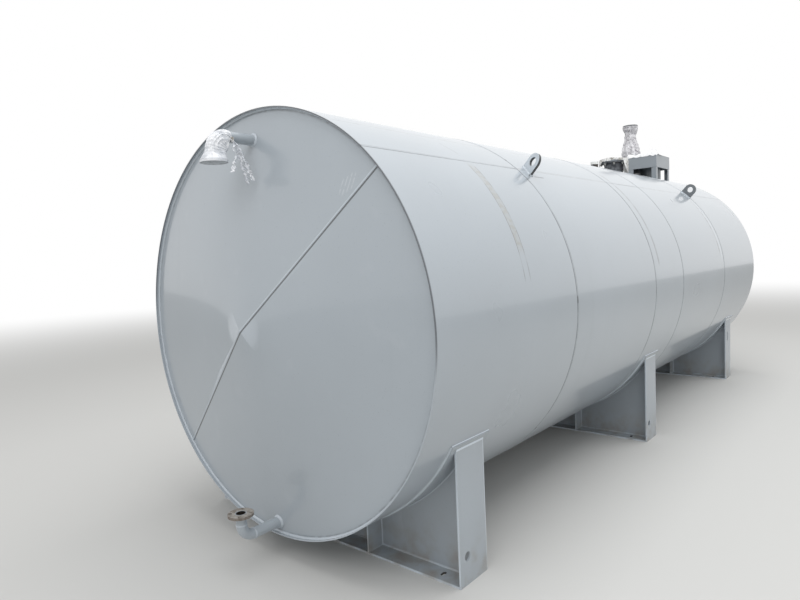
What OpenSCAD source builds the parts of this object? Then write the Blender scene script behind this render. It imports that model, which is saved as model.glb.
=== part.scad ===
// Horizontal welded steel tank on three saddles, with conical heads, two end nozzles,
// four lifting lugs, and a filling neck, a gauge socket, a frame and a vent on the crown.
// Millimetres, +Z up, +X along the tank axis, origin on the ground below the middle.

/* [Shell] */
// Outside diameter of the shell
shell_d = 2400; // [2200:20:2600]
// Thickness of the rolled shell plate
shell_t = 6; // [4:1:10]
// Length of the first course, at the nozzle end
course_1_l = 1462; // [1300:1:1600]
// Length of the second course
course_2_l = 1500; // [1300:1:1600]
// Length of the short third course
course_3_l = 766; // [600:1:900]
// Length of the fourth course
course_4_l = 1555; // [1400:1:1700]
// Length of the last course
course_5_l = 1577; // [1400:1:1700]

/* [Shell welds] */
// Width of a weld bead on the shell
bead_w = 12; // [8:1:20]
// Height of a weld bead above the plate
bead_h = 2; // [1:0.5:3]
// Angle from the crown of the lengthwise welds of the odd courses
seam_odd_a = 42; // [20:1:60]
// Angle from the crown of the lengthwise welds of the even courses
seam_even_a = 205; // [190:1:220]

/* [Heads] */
// How far a conical head rises from its edge to its tip
head_rise = 195; // [120:5:260]
// Thickness of the head plate
head_t = 6; // [4:1:10]
// Depth of the head's edge inside the rim of the shell
head_recess = 25; // [15:1:50]
// Angle of the head's joint line from level
head_seam_a = 42; // [0:1:60]

/* [Saddles] */
// Clear height between the ground and the bottom of the shell
clear_h = 142; // [120:1:250]
// First saddle, from the near rim to its web
saddle_1_x = 457; // [400:1:700]
// Second saddle, from the near rim to its web
saddle_2_x = 3283; // [3100:1:3500]
// Third saddle, from the near rim to its web
saddle_3_x = 6168; // [5900:1:6300]
// Length of a saddle across the tank
saddle_l = 2084; // [1900:2:2120]
// Width of a saddle along the tank
saddle_w = 250; // [200:2:300]
// Thickness of the base plate
base_t = 12; // [8:1:20]
// Thickness of the web plate
web_t = 10; // [6:1:16]
// Thickness of the side plates
side_t = 10; // [6:1:16]
// Thickness of the ribs
rib_t = 10; // [6:1:16]
// Distance of each rib from the middle of the saddle
rib_y = 395; // [300:5:600]
// Thickness of the wear pad
pad_t = 10; // [6:1:16]
// Width of the wear pad along the tank
pad_w = 340; // [310:2:400]
// How far the wear pad's ends reach beyond the side plates
pad_over = 17; // [2:1:30]
// Diameter of the round hole in the side plate
side_hole_d = 50; // [20:1:60]
// Height of the round hole above the ground
side_hole_h = 151; // [100:1:250]
// Distance of the round hole from the web, towards the near end
side_hole_x = 57; // [40:1:80]
// Width of the slot in the third saddle's side plates
side_slot_w = 30; // [20:1:40]
// Length of the slot in the third saddle's side plates
side_slot_l = 110; // [80:1:140]
// Height of the middle of that slot above the ground
side_slot_h = 519; // [400:1:560]
// Distance of that slot from the web, towards the near end
side_slot_x = 30; // [22:1:60]
// Distance of the anchor slots from the web, each way
anchor_x = 65; // [50:1:90]
// Distance of the anchor slots from the middle of the saddle
anchor_y = 888; // [800:1:950]
// Width of an anchor slot
anchor_w = 22; // [16:1:30]
// Distance between the centres of an anchor slot's round ends
anchor_run = 20; // [10:1:40]

/* [Lifting lugs] */
// Angle of the lugs from the crown
lug_a = 42.5; // [30:0.5:50]
// First pair of lugs, from the near rim
lug_1_x = 1590; // [1500:1:1700]
// Second pair of lugs, from the far rim
lug_2_x = 1600; // [1320:1:1700]
// Width of a lug
lug_w = 120; // [100:1:160]
// Thickness of a lug
lug_t = 20; // [12:1:30]
// Height of the eye above the shell
lug_eye_h = 72; // [60:1:100]
// Diameter of the eye
lug_eye_d = 60; // [40:1:76]

/* [End nozzles] */
// Outside diameter of the nozzle pipe
pipe_d = 60.3; // [48:0.1:76]
// Wall of the nozzle pipe
pipe_t = 4; // [3:0.5:6]
// Radius of the pipe's bend on its centre line
bend_r = 76; // [70:1:95]
// Diameter of a nozzle flange
flange_d = 140; // [130:1:200]
// Thickness of a nozzle flange
flange_t = 14; // [10:1:22]
// Diameter of the circle of flange holes
flange_pcd = 110; // [100:1:150]
// Number of flange holes
flange_holes = 4; // [4:2:8]
// Diameter of a flange hole
flange_hole_d = 14; // [10:1:18]
// From the top of the shell down to the upper nozzle's centre line
upper_edge = 166; // [140:1:300]
// From the bottom of the shell up to the lower nozzle's centre line
lower_edge = 72; // [65:1:200]
// Reach of the upper nozzle's flange centre beyond the rim
upper_reach = 255; // [200:1:320]
// Reach of the lower nozzle's flange centre beyond the rim
lower_reach = 238; // [200:1:320]
// From a nozzle's centre line to its flange face
nozzle_drop = 141; // [120:1:200]

/* [Filling neck] */
// Distance of the neck's centre before the frame's near face
fill_x = 723; // [550:1:740]
// Distance of the neck from the crown, towards the back lugs
fill_y = 60; // [-100:5:100]
// Outside diameter of the neck
fill_d = 219; // [168:1:230]
// Wall of the neck
fill_t = 6; // [4:0.5:10]
// Height of the flange's upper face above the crown
fill_h = 174; // [120:1:240]
// Diameter of the neck's flange and cover
fill_flange_d = 320; // [300:1:360]
// Thickness of the neck's flange and of its cover
fill_flange_t = 16; // [10:1:24]
// Diameter of the circle of cover holes
fill_pcd = 280; // [260:1:290]
// Number of cover holes
fill_holes = 8; // [6:2:12]
// Diameter of a cover hole
fill_hole_d = 18; // [12:1:20]

/* [Gauge socket] */
// Distance of the socket's centre before the filling neck's
socket_x = 737; // [527:1:927]
// Outside diameter of the socket
socket_d = 76.1; // [60:0.1:90]
// Wall of the socket
socket_t = 5; // [3:0.5:8]
// Height of the socket's end above the crown
socket_h = 104; // [80:1:150]
// Height of the socket's cap, and how far it slips over the socket
cap_h = 26; // [16:1:40]
// Thickness of the cap
cap_t = 4; // [2:0.5:6]

/* [Vent and its frame] */
// Distance of the frame's far face from the far rim
frame_x = 166; // [56:1:266]
// Length of the frame along the tank
frame_l = 544; // [500:1:580]
// Width of the frame across the tank
frame_w = 360; // [320:1:420]
// Distance of the frame's middle from the crown, towards the front lugs
frame_off = 43; // [0:1:80]
// Height of the frame's top above the crown
frame_h = 304; // [270:1:380]
// Height of the sheet band round the frame
band_h = 158; // [120:1:180]
// Thickness of the band's sheet
band_t = 4; // [3:1:6]
// Thickness of the frame's top plate
top_t = 5; // [4:1:8]
// Leg of the corner angles
leg_w = 60; // [50:1:80]
// Thickness of the corner angles
leg_t = 6; // [4:1:8]
// Outside diameter of the neck inside the frame
frame_neck_d = 244.5; // [200:0.5:250]
// Wall of the neck inside the frame
frame_neck_t = 6.3; // [4:0.1:8]
// Distance of that neck's centre from the frame's near face
frame_neck_run = 340; // [200:1:360]
// Outside diameter of the vent pipe
vent_d = 88.9; // [76:0.1:102]
// Wall of the vent pipe
vent_t = 5; // [3:0.5:7]
// Distance of the vent's centre behind the frame
vent_off = 55; // [53:1:100]
// Distance of the vent's centre along the frame, from its near face
vent_run = 253; // [150:1:350]
// Height of the vent flange's face above the crown
vent_h = 757; // [650:1:800]
// Diameter of the vent flange
vent_flange_d = 190; // [170:1:200]
// Thickness of the vent flange
vent_flange_t = 14; // [10:1:22]
// Diameter of the circle of vent flange holes
vent_pcd = 150; // [140:1:155]
// Number of vent flange holes
vent_holes = 4; // [4:2:8]
// Diameter of a vent flange hole
vent_hole_d = 18; // [12:1:20]

/* [Film wraps] */
// Thickness of a wrap of packing film, with its folds
film_t = 3; // [2:0.5:5]
// Space between the film and what it covers
film_gap = 3; // [2:0.5:6]

/* [Hidden] */

// Gap between parts that are welded or slipped together on a curve
fit = 0.3;
// Facets round a circle
$fn = 96;
// Facets round the folded film
film_fn = 32;

shell_r = shell_d / 2;
shell_inner_r = shell_r - shell_t;
axis_h = clear_h + shell_r;
shell_l = course_1_l + course_2_l + course_3_l + course_4_l + course_5_l;
course_2_x = course_1_l;
course_3_x = course_2_x + course_2_l;
course_4_x = course_3_x + course_3_l;
course_5_x = course_4_x + course_4_l;

head_r = shell_inner_r - fit;
pipe_r = pipe_d / 2;
upper_z = shell_r - upper_edge;
lower_z = shell_r - lower_edge;
vent_r = vent_d / 2;
fill_r = fill_d / 2;

// How far the part reaches beyond the near and the far rim
wrap_r = flange_d / 2 + film_gap + film_t;
near_reach = upper_reach + wrap_r;
far_reach = head_rise - head_recess;
near_x = (near_reach - far_reach - shell_l) / 2;

saddle_seat_r = shell_r + fit;
pad_outer_r = saddle_seat_r + pad_t;
pad_a = 2 * asin((saddle_l / 2 + pad_over) / pad_outer_r);
web_cut_r = pad_outer_r + fit;
side_y = saddle_l / 2 - side_t;
web_y = side_y - fit;

frame_near_y = -frame_off - frame_w / 2;
frame_far_y = frame_w / 2 - frame_off;
frame_top_z = shell_r + frame_h;
band_z = frame_top_z - top_t - band_h;
frame_near_x = shell_l - frame_x - frame_l;
fill_neck_x = frame_near_x - fill_x;
gauge_x = fill_neck_x - socket_x;
vent_x = frame_near_x + vent_run;
vent_y = frame_far_y + vent_off;
frame_neck_x = frame_near_x + frame_neck_run;
frame_neck_r = frame_neck_d / 2;
socket_r = socket_d / 2;
// How far the necks reach below the crown, inside the shell
neck_inside = 30;

// Places a child along the tank, on its axis
module at_axis(x = 0) {
    translate([near_x + x, 0, axis_h]) children();
}

// A solid of revolution about the tank axis, drawn as [distance along, radius]
module about_axis(angle = 360) {
    rotate([90, 0, 90]) rotate_extrude(angle = angle, $fn = 180) children();
}

module steel() {
    color([0.66, 0.69, 0.71]) children();
}

module raw_steel() {
    color([0.55, 0.49, 0.43]) children();
}

module film() {
    color([0.88, 0.90, 0.92, 0.8]) children();
}

// A length of pipe along +Z
module tube(r, wall, l) {
    difference() {
        cylinder(r = r, h = l);
        translate([0, 0, -1]) cylinder(r = r - wall, h = l + 2);
    }
}

// A flat ring with a circle of holes, its lower face at z = 0
module drilled_ring(d, t, bore_r, pcd, holes, hole_d, turn) {
    difference() {
        cylinder(d = d, h = t);
        if (bore_r > 0) translate([0, 0, -1]) cylinder(r = bore_r, h = t + 2);
        for (i = [0 : holes - 1])
            rotate(turn + i * 360 / holes)
                translate([pcd / 2, 0, -1]) cylinder(d = hole_d, h = t + 2, $fn = 32);
    }
}

// Section of a weld bead, centred on the outer face of the shell, drawn as [radius, along]
module bead_section() {
    polygon([
        [shell_r - shell_t / 2, -bead_w / 2], [shell_r, -bead_w / 2],
        [shell_r + bead_h * 0.8, -bead_w / 5], [shell_r + bead_h, 0], [shell_r + bead_h * 0.8, bead_w / 5],
        [shell_r, bead_w / 2], [shell_r - shell_t / 2, bead_w / 2]
    ]);
}

// One rolled course of the shell with its lengthwise weld at seam_a from the crown,
// and its half of the round weld at each end that meets another course
module course(x, l, seam_a, weld_start = true, weld_end = true) {
    steel() at_axis(x) difference() {
        union() {
            about_axis() {
                translate([shell_inner_r, 0]) square([shell_t, l]);
                intersection() {
                    translate([shell_inner_r, 0]) square([2 * shell_t, l]);
                    for (e = [[weld_start, 0], [weld_end, l]])
                        if (e[0]) translate([0, e[1]]) bead_section();
                }
            }
            rotate([seam_a, 0, 0]) rotate([90, 0, 90]) linear_extrude(l) rotate(90) bead_section();
        }
        translate([-x, 0, 0]) crown_holes();
    }
}

// Hole through the top of the shell for a pipe of radius r, x from the near rim
module crown_hole(x, y, r) {
    translate([x, y, shell_r / 2]) cylinder(r = r + fit, h = shell_r);
}

// The holes for all that stands on the crown, cut in whichever course they meet
module crown_holes() {
    crown_hole(gauge_x, 0, socket_r);
    crown_hole(fill_neck_x, fill_y, fill_r);
    crown_hole(vent_x, vent_y, vent_r);
    crown_hole(frame_neck_x, -frame_off, frame_neck_r);
}

module shell_course_1() {
    course(0, course_1_l, seam_odd_a, weld_start = false);
}

module shell_course_2() {
    course(course_2_x, course_2_l, seam_even_a);
}

module shell_course_3() {
    course(course_3_x, course_3_l, seam_odd_a);
}

module shell_course_4() {
    course(course_4_x, course_4_l, seam_even_a);
}

module shell_course_5() {
    course(course_5_x, course_5_l, seam_odd_a, weld_end = false);
}

// Half of a conical head, its edge at x = 0 and its tip at x = -head_rise
module half_cone() {
    about_axis(180)
        polygon([[0, -head_rise], [head_r, 0], [head_r, head_t], [0, head_t - head_rise]]);
}

// Both head halves meet on the joint line; turn picks the half
module near_half(turn) {
    at_axis(head_recess) rotate([turn, 0, 0]) half_cone();
}

module far_half(turn) {
    at_axis(shell_l - head_recess) mirror([1, 0, 0]) rotate([turn, 0, 0]) half_cone();
}

module near_head_upper() {
    steel() difference() {
        near_half(-head_seam_a);
        at_axis(-head_rise) translate([0, 0, upper_z]) rotate([0, 90, 0])
            cylinder(r = pipe_r + fit, h = 2 * head_rise);
    }
}

module near_head_lower() {
    steel() difference() {
        near_half(180 - head_seam_a);
        at_axis(-head_rise) translate([0, 0, -lower_z]) rotate([0, 90, 0])
            cylinder(r = pipe_r + fit, h = 2 * head_rise);
    }
}

module far_head_upper() {
    steel() far_half(-head_seam_a);
}

module far_head_lower() {
    steel() far_half(180 - head_seam_a);
}

// Round space for the tank and its wear pad, about the tank axis
module seat_cut(l) {
    translate([-l / 2, 0, axis_h]) rotate([0, 90, 0]) cylinder(r = web_cut_r, h = l, $fn = 180);
}

module anchor_slot() {
    for (sx = [-1, 1], sy = [-1, 1])
        translate([sx * anchor_x, sy * anchor_y, -1]) {
            for (e = [-1, 1])
                translate([e * anchor_run / 2, 0, 0]) cylinder(d = anchor_w, h = base_t + 2, $fn = 32);
            translate([-anchor_run / 2, -anchor_w / 2, 0]) cube([anchor_run, anchor_w, base_t + 2]);
        }
}

module saddle_base(x) {
    steel() translate([near_x + x, 0, 0]) difference() {
        translate([-saddle_w / 2, -saddle_l / 2, 0]) cube([saddle_w, saddle_l, base_t]);
        anchor_slot();
    }
}

module saddle_web(x) {
    steel() translate([near_x + x, 0, 0]) difference() {
        translate([-web_t / 2, -web_y, base_t]) cube([web_t, 2 * web_y, axis_h - base_t - shell_r / 3]);
        seat_cut(2 * web_t);
    }
}

// Both side plates of a saddle; slotted plates have the upright slot instead of the round hole
module saddle_sides(x, slotted = false) {
    steel() translate([near_x + x, 0, 0]) difference() {
        for (s = [-1, 1])
            translate([-saddle_w / 2, s > 0 ? side_y : -saddle_l / 2, base_t])
                cube([saddle_w, side_t, axis_h - base_t - shell_r / 3]);
        seat_cut(2 * saddle_w);
        if (slotted) {
            for (e = [-1, 1])
                translate([-side_slot_x, 0, side_slot_h + e * (side_slot_l - side_slot_w) / 2])
                    rotate([90, 0, 0]) cylinder(d = side_slot_w, h = 2 * saddle_l, center = true, $fn = 48);
            translate([-side_slot_x, 0, side_slot_h])
                cube([side_slot_w, 2 * saddle_l, side_slot_l - side_slot_w], center = true);
        } else {
            translate([-side_hole_x, 0, side_hole_h])
                rotate([90, 0, 0]) cylinder(d = side_hole_d, h = 2 * saddle_l, center = true, $fn = 48);
        }
    }
}

module saddle_ribs(x) {
    rib_l = saddle_w / 2 - web_t / 2 - fit;
    steel() translate([near_x + x, 0, 0]) difference() {
        for (sx = [-1, 1], sy = [-1, 1])
            translate([sx > 0 ? web_t / 2 + fit : -saddle_w / 2, sy * rib_y - rib_t / 2, base_t])
                cube([rib_l, rib_t, axis_h - base_t - shell_r / 2]);
        seat_cut(2 * saddle_w);
    }
}

module saddle_pad(x) {
    steel() at_axis(x - pad_w / 2)
        rotate([-90 - pad_a / 2, 0, 0]) about_axis(pad_a)
            translate([saddle_seat_r, 0]) square([pad_t, pad_w]);
}

// A lug stands on the shell; a is its angle from the crown towards +Y
module lug(x, a) {
    steel() at_axis(x) rotate([-a, 0, 0]) difference() {
        translate([-lug_t / 2, 0, 0]) rotate([90, 0, 90]) linear_extrude(lug_t) {
            translate([0, shell_r + lug_eye_h]) circle(d = lug_w);
            translate([-lug_w / 2, shell_r - shell_t]) square([lug_w, lug_eye_h + shell_t]);
        }
        translate([0, 0, shell_r + lug_eye_h]) rotate([0, 90, 0])
            cylinder(d = lug_eye_d, h = 2 * lug_t, center = true);
        rotate([0, 90, 0]) cylinder(r = shell_r + fit, h = 2 * lug_t, center = true, $fn = 180);
    }
}

module lug_1_front() {
    lug(lug_1_x, -lug_a);
}

module lug_1_back() {
    lug(lug_1_x, lug_a);
}

module lug_2_front() {
    lug(shell_l - lug_2_x, -lug_a);
}

module lug_2_back() {
    lug(shell_l - lug_2_x, lug_a);
}

// Outline of a nozzle of radius r: out along -X, round a bend and up along +Z
module nozzle_form(r, reach, inside, over) {
    run = reach - bend_r;
    translate([-run, 0, 0]) rotate([0, 90, 0]) cylinder(r = r, h = run + inside + over);
    translate([-run, 0, bend_r]) rotate([90, 0, 0]) rotate([0, 0, 180]) rotate_extrude(angle = 90)
        translate([bend_r, 0]) circle(r = r);
    translate([-reach, 0, bend_r]) cylinder(r = r, h = nozzle_drop - bend_r + over);
}

module nozzle_pipe(reach) {
    difference() {
        nozzle_form(pipe_r, reach, 2 * head_recess, 0);
        nozzle_form(pipe_r - pipe_t, reach, 2 * head_recess, 1);
    }
}

module nozzle_flange(reach) {
    translate([-reach, 0, nozzle_drop - flange_t])
        drilled_ring(flange_d, flange_t, pipe_r + fit, flange_pcd, flange_holes, flange_hole_d, 45);
}

module place_upper() {
    at_axis() translate([0, 0, upper_z]) mirror([0, 0, 1]) children();
}

module place_lower() {
    at_axis() translate([0, 0, -lower_z]) children();
}

module upper_nozzle_pipe() {
    steel() place_upper() nozzle_pipe(upper_reach);
}

module upper_nozzle_flange() {
    steel() place_upper() nozzle_flange(upper_reach);
}

module lower_nozzle_pipe() {
    steel() place_lower() nozzle_pipe(lower_reach);
}

module lower_nozzle_flange() {
    raw_steel() place_lower() nozzle_flange(lower_reach);
}

module fill_neck() {
    raw_steel() at_axis(fill_neck_x) translate([0, fill_y, shell_r - neck_inside])
        tube(fill_r, fill_t, fill_h + neck_inside);
}

module fill_flange() {
    raw_steel() at_axis(fill_neck_x) translate([0, fill_y, shell_r + fill_h - fill_flange_t])
        drilled_ring(fill_flange_d, fill_flange_t, fill_r + fit, fill_pcd, fill_holes, fill_hole_d, 22.5);
}

module fill_cover() {
    steel() at_axis(fill_neck_x) translate([0, fill_y, shell_r + fill_h])
        drilled_ring(fill_flange_d, fill_flange_t, 0, fill_pcd, fill_holes, fill_hole_d, 22.5);
}

module gauge_socket() {
    raw_steel() at_axis(gauge_x) translate([0, 0, shell_r - neck_inside])
        tube(socket_r, socket_t, socket_h + neck_inside);
}

// Cap that slips over the socket's end
module gauge_cap() {
    film() at_axis(gauge_x) translate([0, 0, shell_r + socket_h]) difference() {
        translate([0, 0, -cap_h]) cylinder(r = socket_r + fit + cap_t, h = cap_h + cap_t);
        translate([0, 0, -cap_h - 1]) cylinder(r = socket_r + fit, h = cap_h + 1);
    }
}

// Sheet cover of the frame, a top plate with a band round it, open below
module frame_cover() {
    steel() at_axis(frame_near_x) translate([0, frame_near_y, band_z]) difference() {
        cube([frame_l, frame_w, band_h + top_t]);
        translate([band_t, band_t, -1]) cube([frame_l - 2 * band_t, frame_w - 2 * band_t, band_h + 1]);
    }
}

// Neck inside the frame, closed by the frame's top plate
module frame_neck() {
    steel() at_axis(frame_neck_x) translate([0, -frame_off, shell_r - neck_inside])
        tube(frame_neck_r, frame_neck_t, frame_h - top_t + neck_inside);
}

// Four corner angles from the shell to the top plate, inside the band
module frame_legs() {
    in_x = frame_l / 2 - band_t;
    in_y = frame_w / 2 - band_t;
    steel() at_axis(frame_near_x + frame_l / 2) difference() {
        for (sx = [-1, 1], sy = [-1, 1])
            translate([0, -frame_off, 0]) mirror([sx > 0 ? 0 : 1, 0, 0]) mirror([0, sy > 0 ? 0 : 1, 0]) {
                translate([in_x - leg_w, in_y - leg_t, shell_r / 2])
                    cube([leg_w, leg_t, frame_top_z - top_t - shell_r / 2]);
                translate([in_x - leg_t, in_y - leg_w, shell_r / 2])
                    cube([leg_t, leg_w, frame_top_z - top_t - shell_r / 2]);
            }
        rotate([0, 90, 0]) cylinder(r = shell_r + fit, h = 2 * frame_l, center = true, $fn = 180);
    }
}

module vent_pipe() {
    steel() at_axis(vent_x) translate([0, vent_y, shell_r - neck_inside])
        tube(vent_r, vent_t, vent_h + neck_inside);
}

module vent_flange() {
    steel() at_axis(vent_x) translate([0, vent_y, shell_r + vent_h - vent_flange_t])
        drilled_ring(vent_flange_d, vent_flange_t, vent_r + fit, vent_pcd, vent_holes, vent_hole_d, 45);
}

// The bag round a nozzle's bend and flange, g proud of the steel and down to z = end
module bag_form(reach, g, end) {
    hull() {
        translate([-reach + bend_r * 1.6, 0, 0]) rotate([0, 90, 0])
            cylinder(r = pipe_r + g, h = 2, $fn = film_fn);
        translate([-reach + bend_r / 6, 0, 0]) rotate([0, 90, 0])
            cylinder(r = pipe_r + g + film_gap, h = 2, $fn = film_fn);
        translate([-reach, 0, nozzle_drop - 2 * flange_t])
            cylinder(r = flange_d / 2 + g, h = end - nozzle_drop + 2 * flange_t, $fn = film_fn);
    }
}

module upper_nozzle_wrap() {
    neck_x = -upper_reach + bend_r * 1.6;
    film() place_upper() difference() {
        union() {
            bag_form(upper_reach, film_gap + film_t, nozzle_drop);
            translate([neck_x, 0, 0]) rotate([0, 90, 0]) cylinder(r = pipe_r + film_t, h = 12);
        }
        bag_form(upper_reach, film_gap, nozzle_drop + film_t);
        translate([neck_x - 20, 0, 0]) rotate([0, 90, 0]) cylinder(r = pipe_r + fit, h = 40);
    }
}

// Film hood over the filling neck's cover
module fill_wrap() {
    cover_z = shell_r + fill_h + fill_flange_t;
    film() at_axis(fill_neck_x) translate([0, fill_y, 0]) rotate_extrude() polygon([
        [0, cover_z + fit], [fill_flange_d / 2 + film_gap, cover_z + fit],
        [fill_flange_d / 2 + film_gap, cover_z - 2 * fill_flange_t],
        [fill_flange_d / 2 + film_gap + film_t, cover_z - 2 * fill_flange_t],
        [fill_flange_d / 2 + film_gap + film_t, cover_z + film_t],
        [fill_flange_d / 3, cover_z + 5 * film_t],
        [0, cover_z + 6 * film_t]
    ]);
}

// Film sleeve round the vent, with a skirt that rests on the edge of the frame's top plate
module vent_wrap() {
    top_z = shell_r + vent_h;
    foot_z = frame_top_z + fit;
    inner = vent_r + film_gap;
    cap_r = vent_flange_d / 2 + film_gap;
    waist_z = top_z - 190;
    film() at_axis(vent_x) translate([0, vent_y, 0]) rotate_extrude() polygon([
        [inner, foot_z], [inner + 58, foot_z], [inner + 62, foot_z + 60],
        [inner + 22, foot_z + 110], [inner + 10, waist_z], [inner + 20, waist_z + 60],
        [cap_r + film_t, top_z - vent_flange_t - 24], [cap_r + film_t, top_z], [cap_r, top_z],
        [cap_r, top_z - vent_flange_t - film_gap], [inner, top_z - vent_flange_t - 60]
    ]);
}

shell_course_1();
shell_course_2();
shell_course_3();
shell_course_4();
shell_course_5();
near_head_upper();
near_head_lower();
far_head_upper();
far_head_lower();
saddle_base(saddle_1_x);  // saddle_1_base
saddle_web(saddle_1_x);  // saddle_1_web
saddle_sides(saddle_1_x);  // saddle_1_sides
saddle_ribs(saddle_1_x);  // saddle_1_ribs
saddle_pad(saddle_1_x);  // saddle_1_pad
saddle_base(saddle_2_x);  // saddle_2_base
saddle_web(saddle_2_x);  // saddle_2_web
saddle_sides(saddle_2_x);  // saddle_2_sides
saddle_ribs(saddle_2_x);  // saddle_2_ribs
saddle_pad(saddle_2_x);  // saddle_2_pad
saddle_base(saddle_3_x);  // saddle_3_base
saddle_web(saddle_3_x);  // saddle_3_web
saddle_sides(saddle_3_x, true);  // saddle_3_sides
saddle_ribs(saddle_3_x);  // saddle_3_ribs
saddle_pad(saddle_3_x);  // saddle_3_pad
lug_1_front();
lug_1_back();
lug_2_front();
lug_2_back();
upper_nozzle_pipe();
upper_nozzle_flange();
lower_nozzle_pipe();
lower_nozzle_flange();
fill_neck();
fill_flange();
fill_cover();
gauge_socket();
gauge_cap();
frame_cover();
frame_legs();
frame_neck();
vent_pipe();
vent_flange();
upper_nozzle_wrap();
fill_wrap();
vent_wrap();
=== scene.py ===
# %% [markdown]
# # Horizontal storage tank on saddles
# This notebook dresses a welded steel tank. Its plates, saddles and pipes come from a packed
# model and already have their real shapes. What is added here is what a painter and a packer
# add in the workshop: enamel, weld runs, bolts, dust, scuffs, and thin film over the openings.

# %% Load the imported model
from math import asin, atan2, copysign, cos, degrees, exp, pi, radians, sin, sqrt, tan

import bmesh
import bpy
import numpy as np
from mathutils import Matrix, Vector
from mathutils.noise import noise


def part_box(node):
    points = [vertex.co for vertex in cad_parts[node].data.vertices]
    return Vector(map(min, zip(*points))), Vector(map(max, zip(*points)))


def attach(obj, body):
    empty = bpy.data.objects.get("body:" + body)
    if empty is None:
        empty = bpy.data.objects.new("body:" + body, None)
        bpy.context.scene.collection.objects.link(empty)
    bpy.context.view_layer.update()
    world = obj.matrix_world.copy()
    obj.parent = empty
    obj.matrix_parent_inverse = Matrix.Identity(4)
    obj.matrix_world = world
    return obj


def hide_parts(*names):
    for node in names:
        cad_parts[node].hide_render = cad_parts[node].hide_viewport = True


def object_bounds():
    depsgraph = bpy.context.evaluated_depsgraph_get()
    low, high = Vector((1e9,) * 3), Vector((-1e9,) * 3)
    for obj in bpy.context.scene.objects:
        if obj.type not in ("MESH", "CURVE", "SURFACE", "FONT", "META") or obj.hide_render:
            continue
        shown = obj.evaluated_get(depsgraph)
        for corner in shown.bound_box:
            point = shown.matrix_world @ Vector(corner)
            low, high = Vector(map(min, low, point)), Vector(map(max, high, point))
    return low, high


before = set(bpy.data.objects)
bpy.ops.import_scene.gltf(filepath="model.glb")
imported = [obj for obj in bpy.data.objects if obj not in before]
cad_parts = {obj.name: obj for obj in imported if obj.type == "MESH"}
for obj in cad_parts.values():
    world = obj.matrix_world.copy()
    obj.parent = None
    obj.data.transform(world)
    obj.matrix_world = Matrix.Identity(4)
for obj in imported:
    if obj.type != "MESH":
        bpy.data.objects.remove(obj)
cad_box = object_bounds()
print(len(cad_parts), "pieces in the model")

# %% [markdown]
# ## Measure the tank
# Every added piece sits on a steel piece, so its place is read from that piece's own box.
# The shell's first and last courses give the two rims, the axis and the radius. The welds
# stand 2 mm proud of the plate, so they come off the radius again.

# %% Axis, rims and saddles
WELD_H = 0.002
HEAD_RECESS = 0.025
HEAD_RISE = 0.195

first_lo, first_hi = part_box("shell_course_1")
NEAR = first_lo.x
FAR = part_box("shell_course_5")[1].x
AXIS_Z = (first_lo.z + first_hi.z) / 2
SHELL_R = (first_hi.z - first_lo.z) / 2 - WELD_H
JOINTS = [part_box(f"shell_course_{i}")[0].x for i in range(2, 6)]
SADDLES = [f"saddle_{i}" for i in (1, 2, 3)]
print("axis at", round(AXIS_Z, 4), "radius", round(SHELL_R, 4), "rims", round(NEAR, 4), round(FAR, 4))

# %% [markdown]
# ## The camera
# The photograph was taken by a standing person, a little over two metres off the tank's end
# corner, with a wide lens. This camera stands there, looks slightly down, and is rolled a
# little, as a camera in the hand is.

# %% Camera
EYE = Vector((-5.4368, -2.7746, 1.7267))
LOOK_YAW = radians(49.677)
LOOK_PITCH = radians(-4.455)
LOOK_ROLL = radians(-2.612)
LENS_MM = 27.308

ahead = Vector((sin(LOOK_YAW) * cos(LOOK_PITCH), cos(LOOK_YAW) * cos(LOOK_PITCH), sin(LOOK_PITCH)))
level_right = Vector((cos(LOOK_YAW), -sin(LOOK_YAW), 0))
level_up = level_right.cross(ahead)
right = level_right * cos(LOOK_ROLL) + level_up * sin(LOOK_ROLL)
up = level_up * cos(LOOK_ROLL) - level_right * sin(LOOK_ROLL)


def add_object(name, data):
    """A new object in the scene, with its mesh, lamp or lens."""
    made = bpy.data.objects.new(name, data)
    bpy.context.scene.collection.objects.link(made)
    return made


camera = add_object("camera", bpy.data.cameras.new("camera"))
camera.data.lens = LENS_MM
camera.data.sensor_width = 36
camera.data.clip_end = 400
camera.matrix_world = Matrix.Translation(EYE) @ Matrix((right, up, -ahead)).transposed().to_4x4()
bpy.context.scene.camera = camera
bpy.context.scene.view_settings.view_transform = "Standard"
print("camera", round(EYE.z, 2), "m above the floor")

# %% [markdown]
# ## A small language for paint
# A finish is a network of nodes, and arithmetic on it is easier to read as arithmetic. The
# first class wraps a socket, so that an expression such as 1 - mask adds the Math node that
# it needs. The second one is a pot of paint. It keeps the colour that has been mixed so far,
# and each coat puts one more colour over it, where a mask says so.

# %% Shader values
class Value:
    """One output of a node, with Python's operators for shader maths."""

    def __init__(self, paint, socket):
        self.paint = paint
        self.socket = socket

    __add__ = __radd__ = lambda self, other: self.paint.maths("ADD", self, other)
    __mul__ = __rmul__ = lambda self, other: self.paint.maths("MULTIPLY", self, other)
    __sub__ = lambda self, other: self.paint.maths("SUBTRACT", self, other)
    __rsub__ = lambda self, other: self.paint.maths("SUBTRACT", other, self)
    __abs__ = lambda self: self.paint.maths("ABSOLUTE", self)


def rgb(red, green, blue):
    """A colour from screen values of 0 to 255, as the linear numbers that shaders use."""
    parts = [c / 255 for c in (red, green, blue)]
    return tuple(c / 12.92 if c <= 0.04045 else ((c + 0.055) / 1.055) ** 2.4 for c in parts) + (1.0,)


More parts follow.
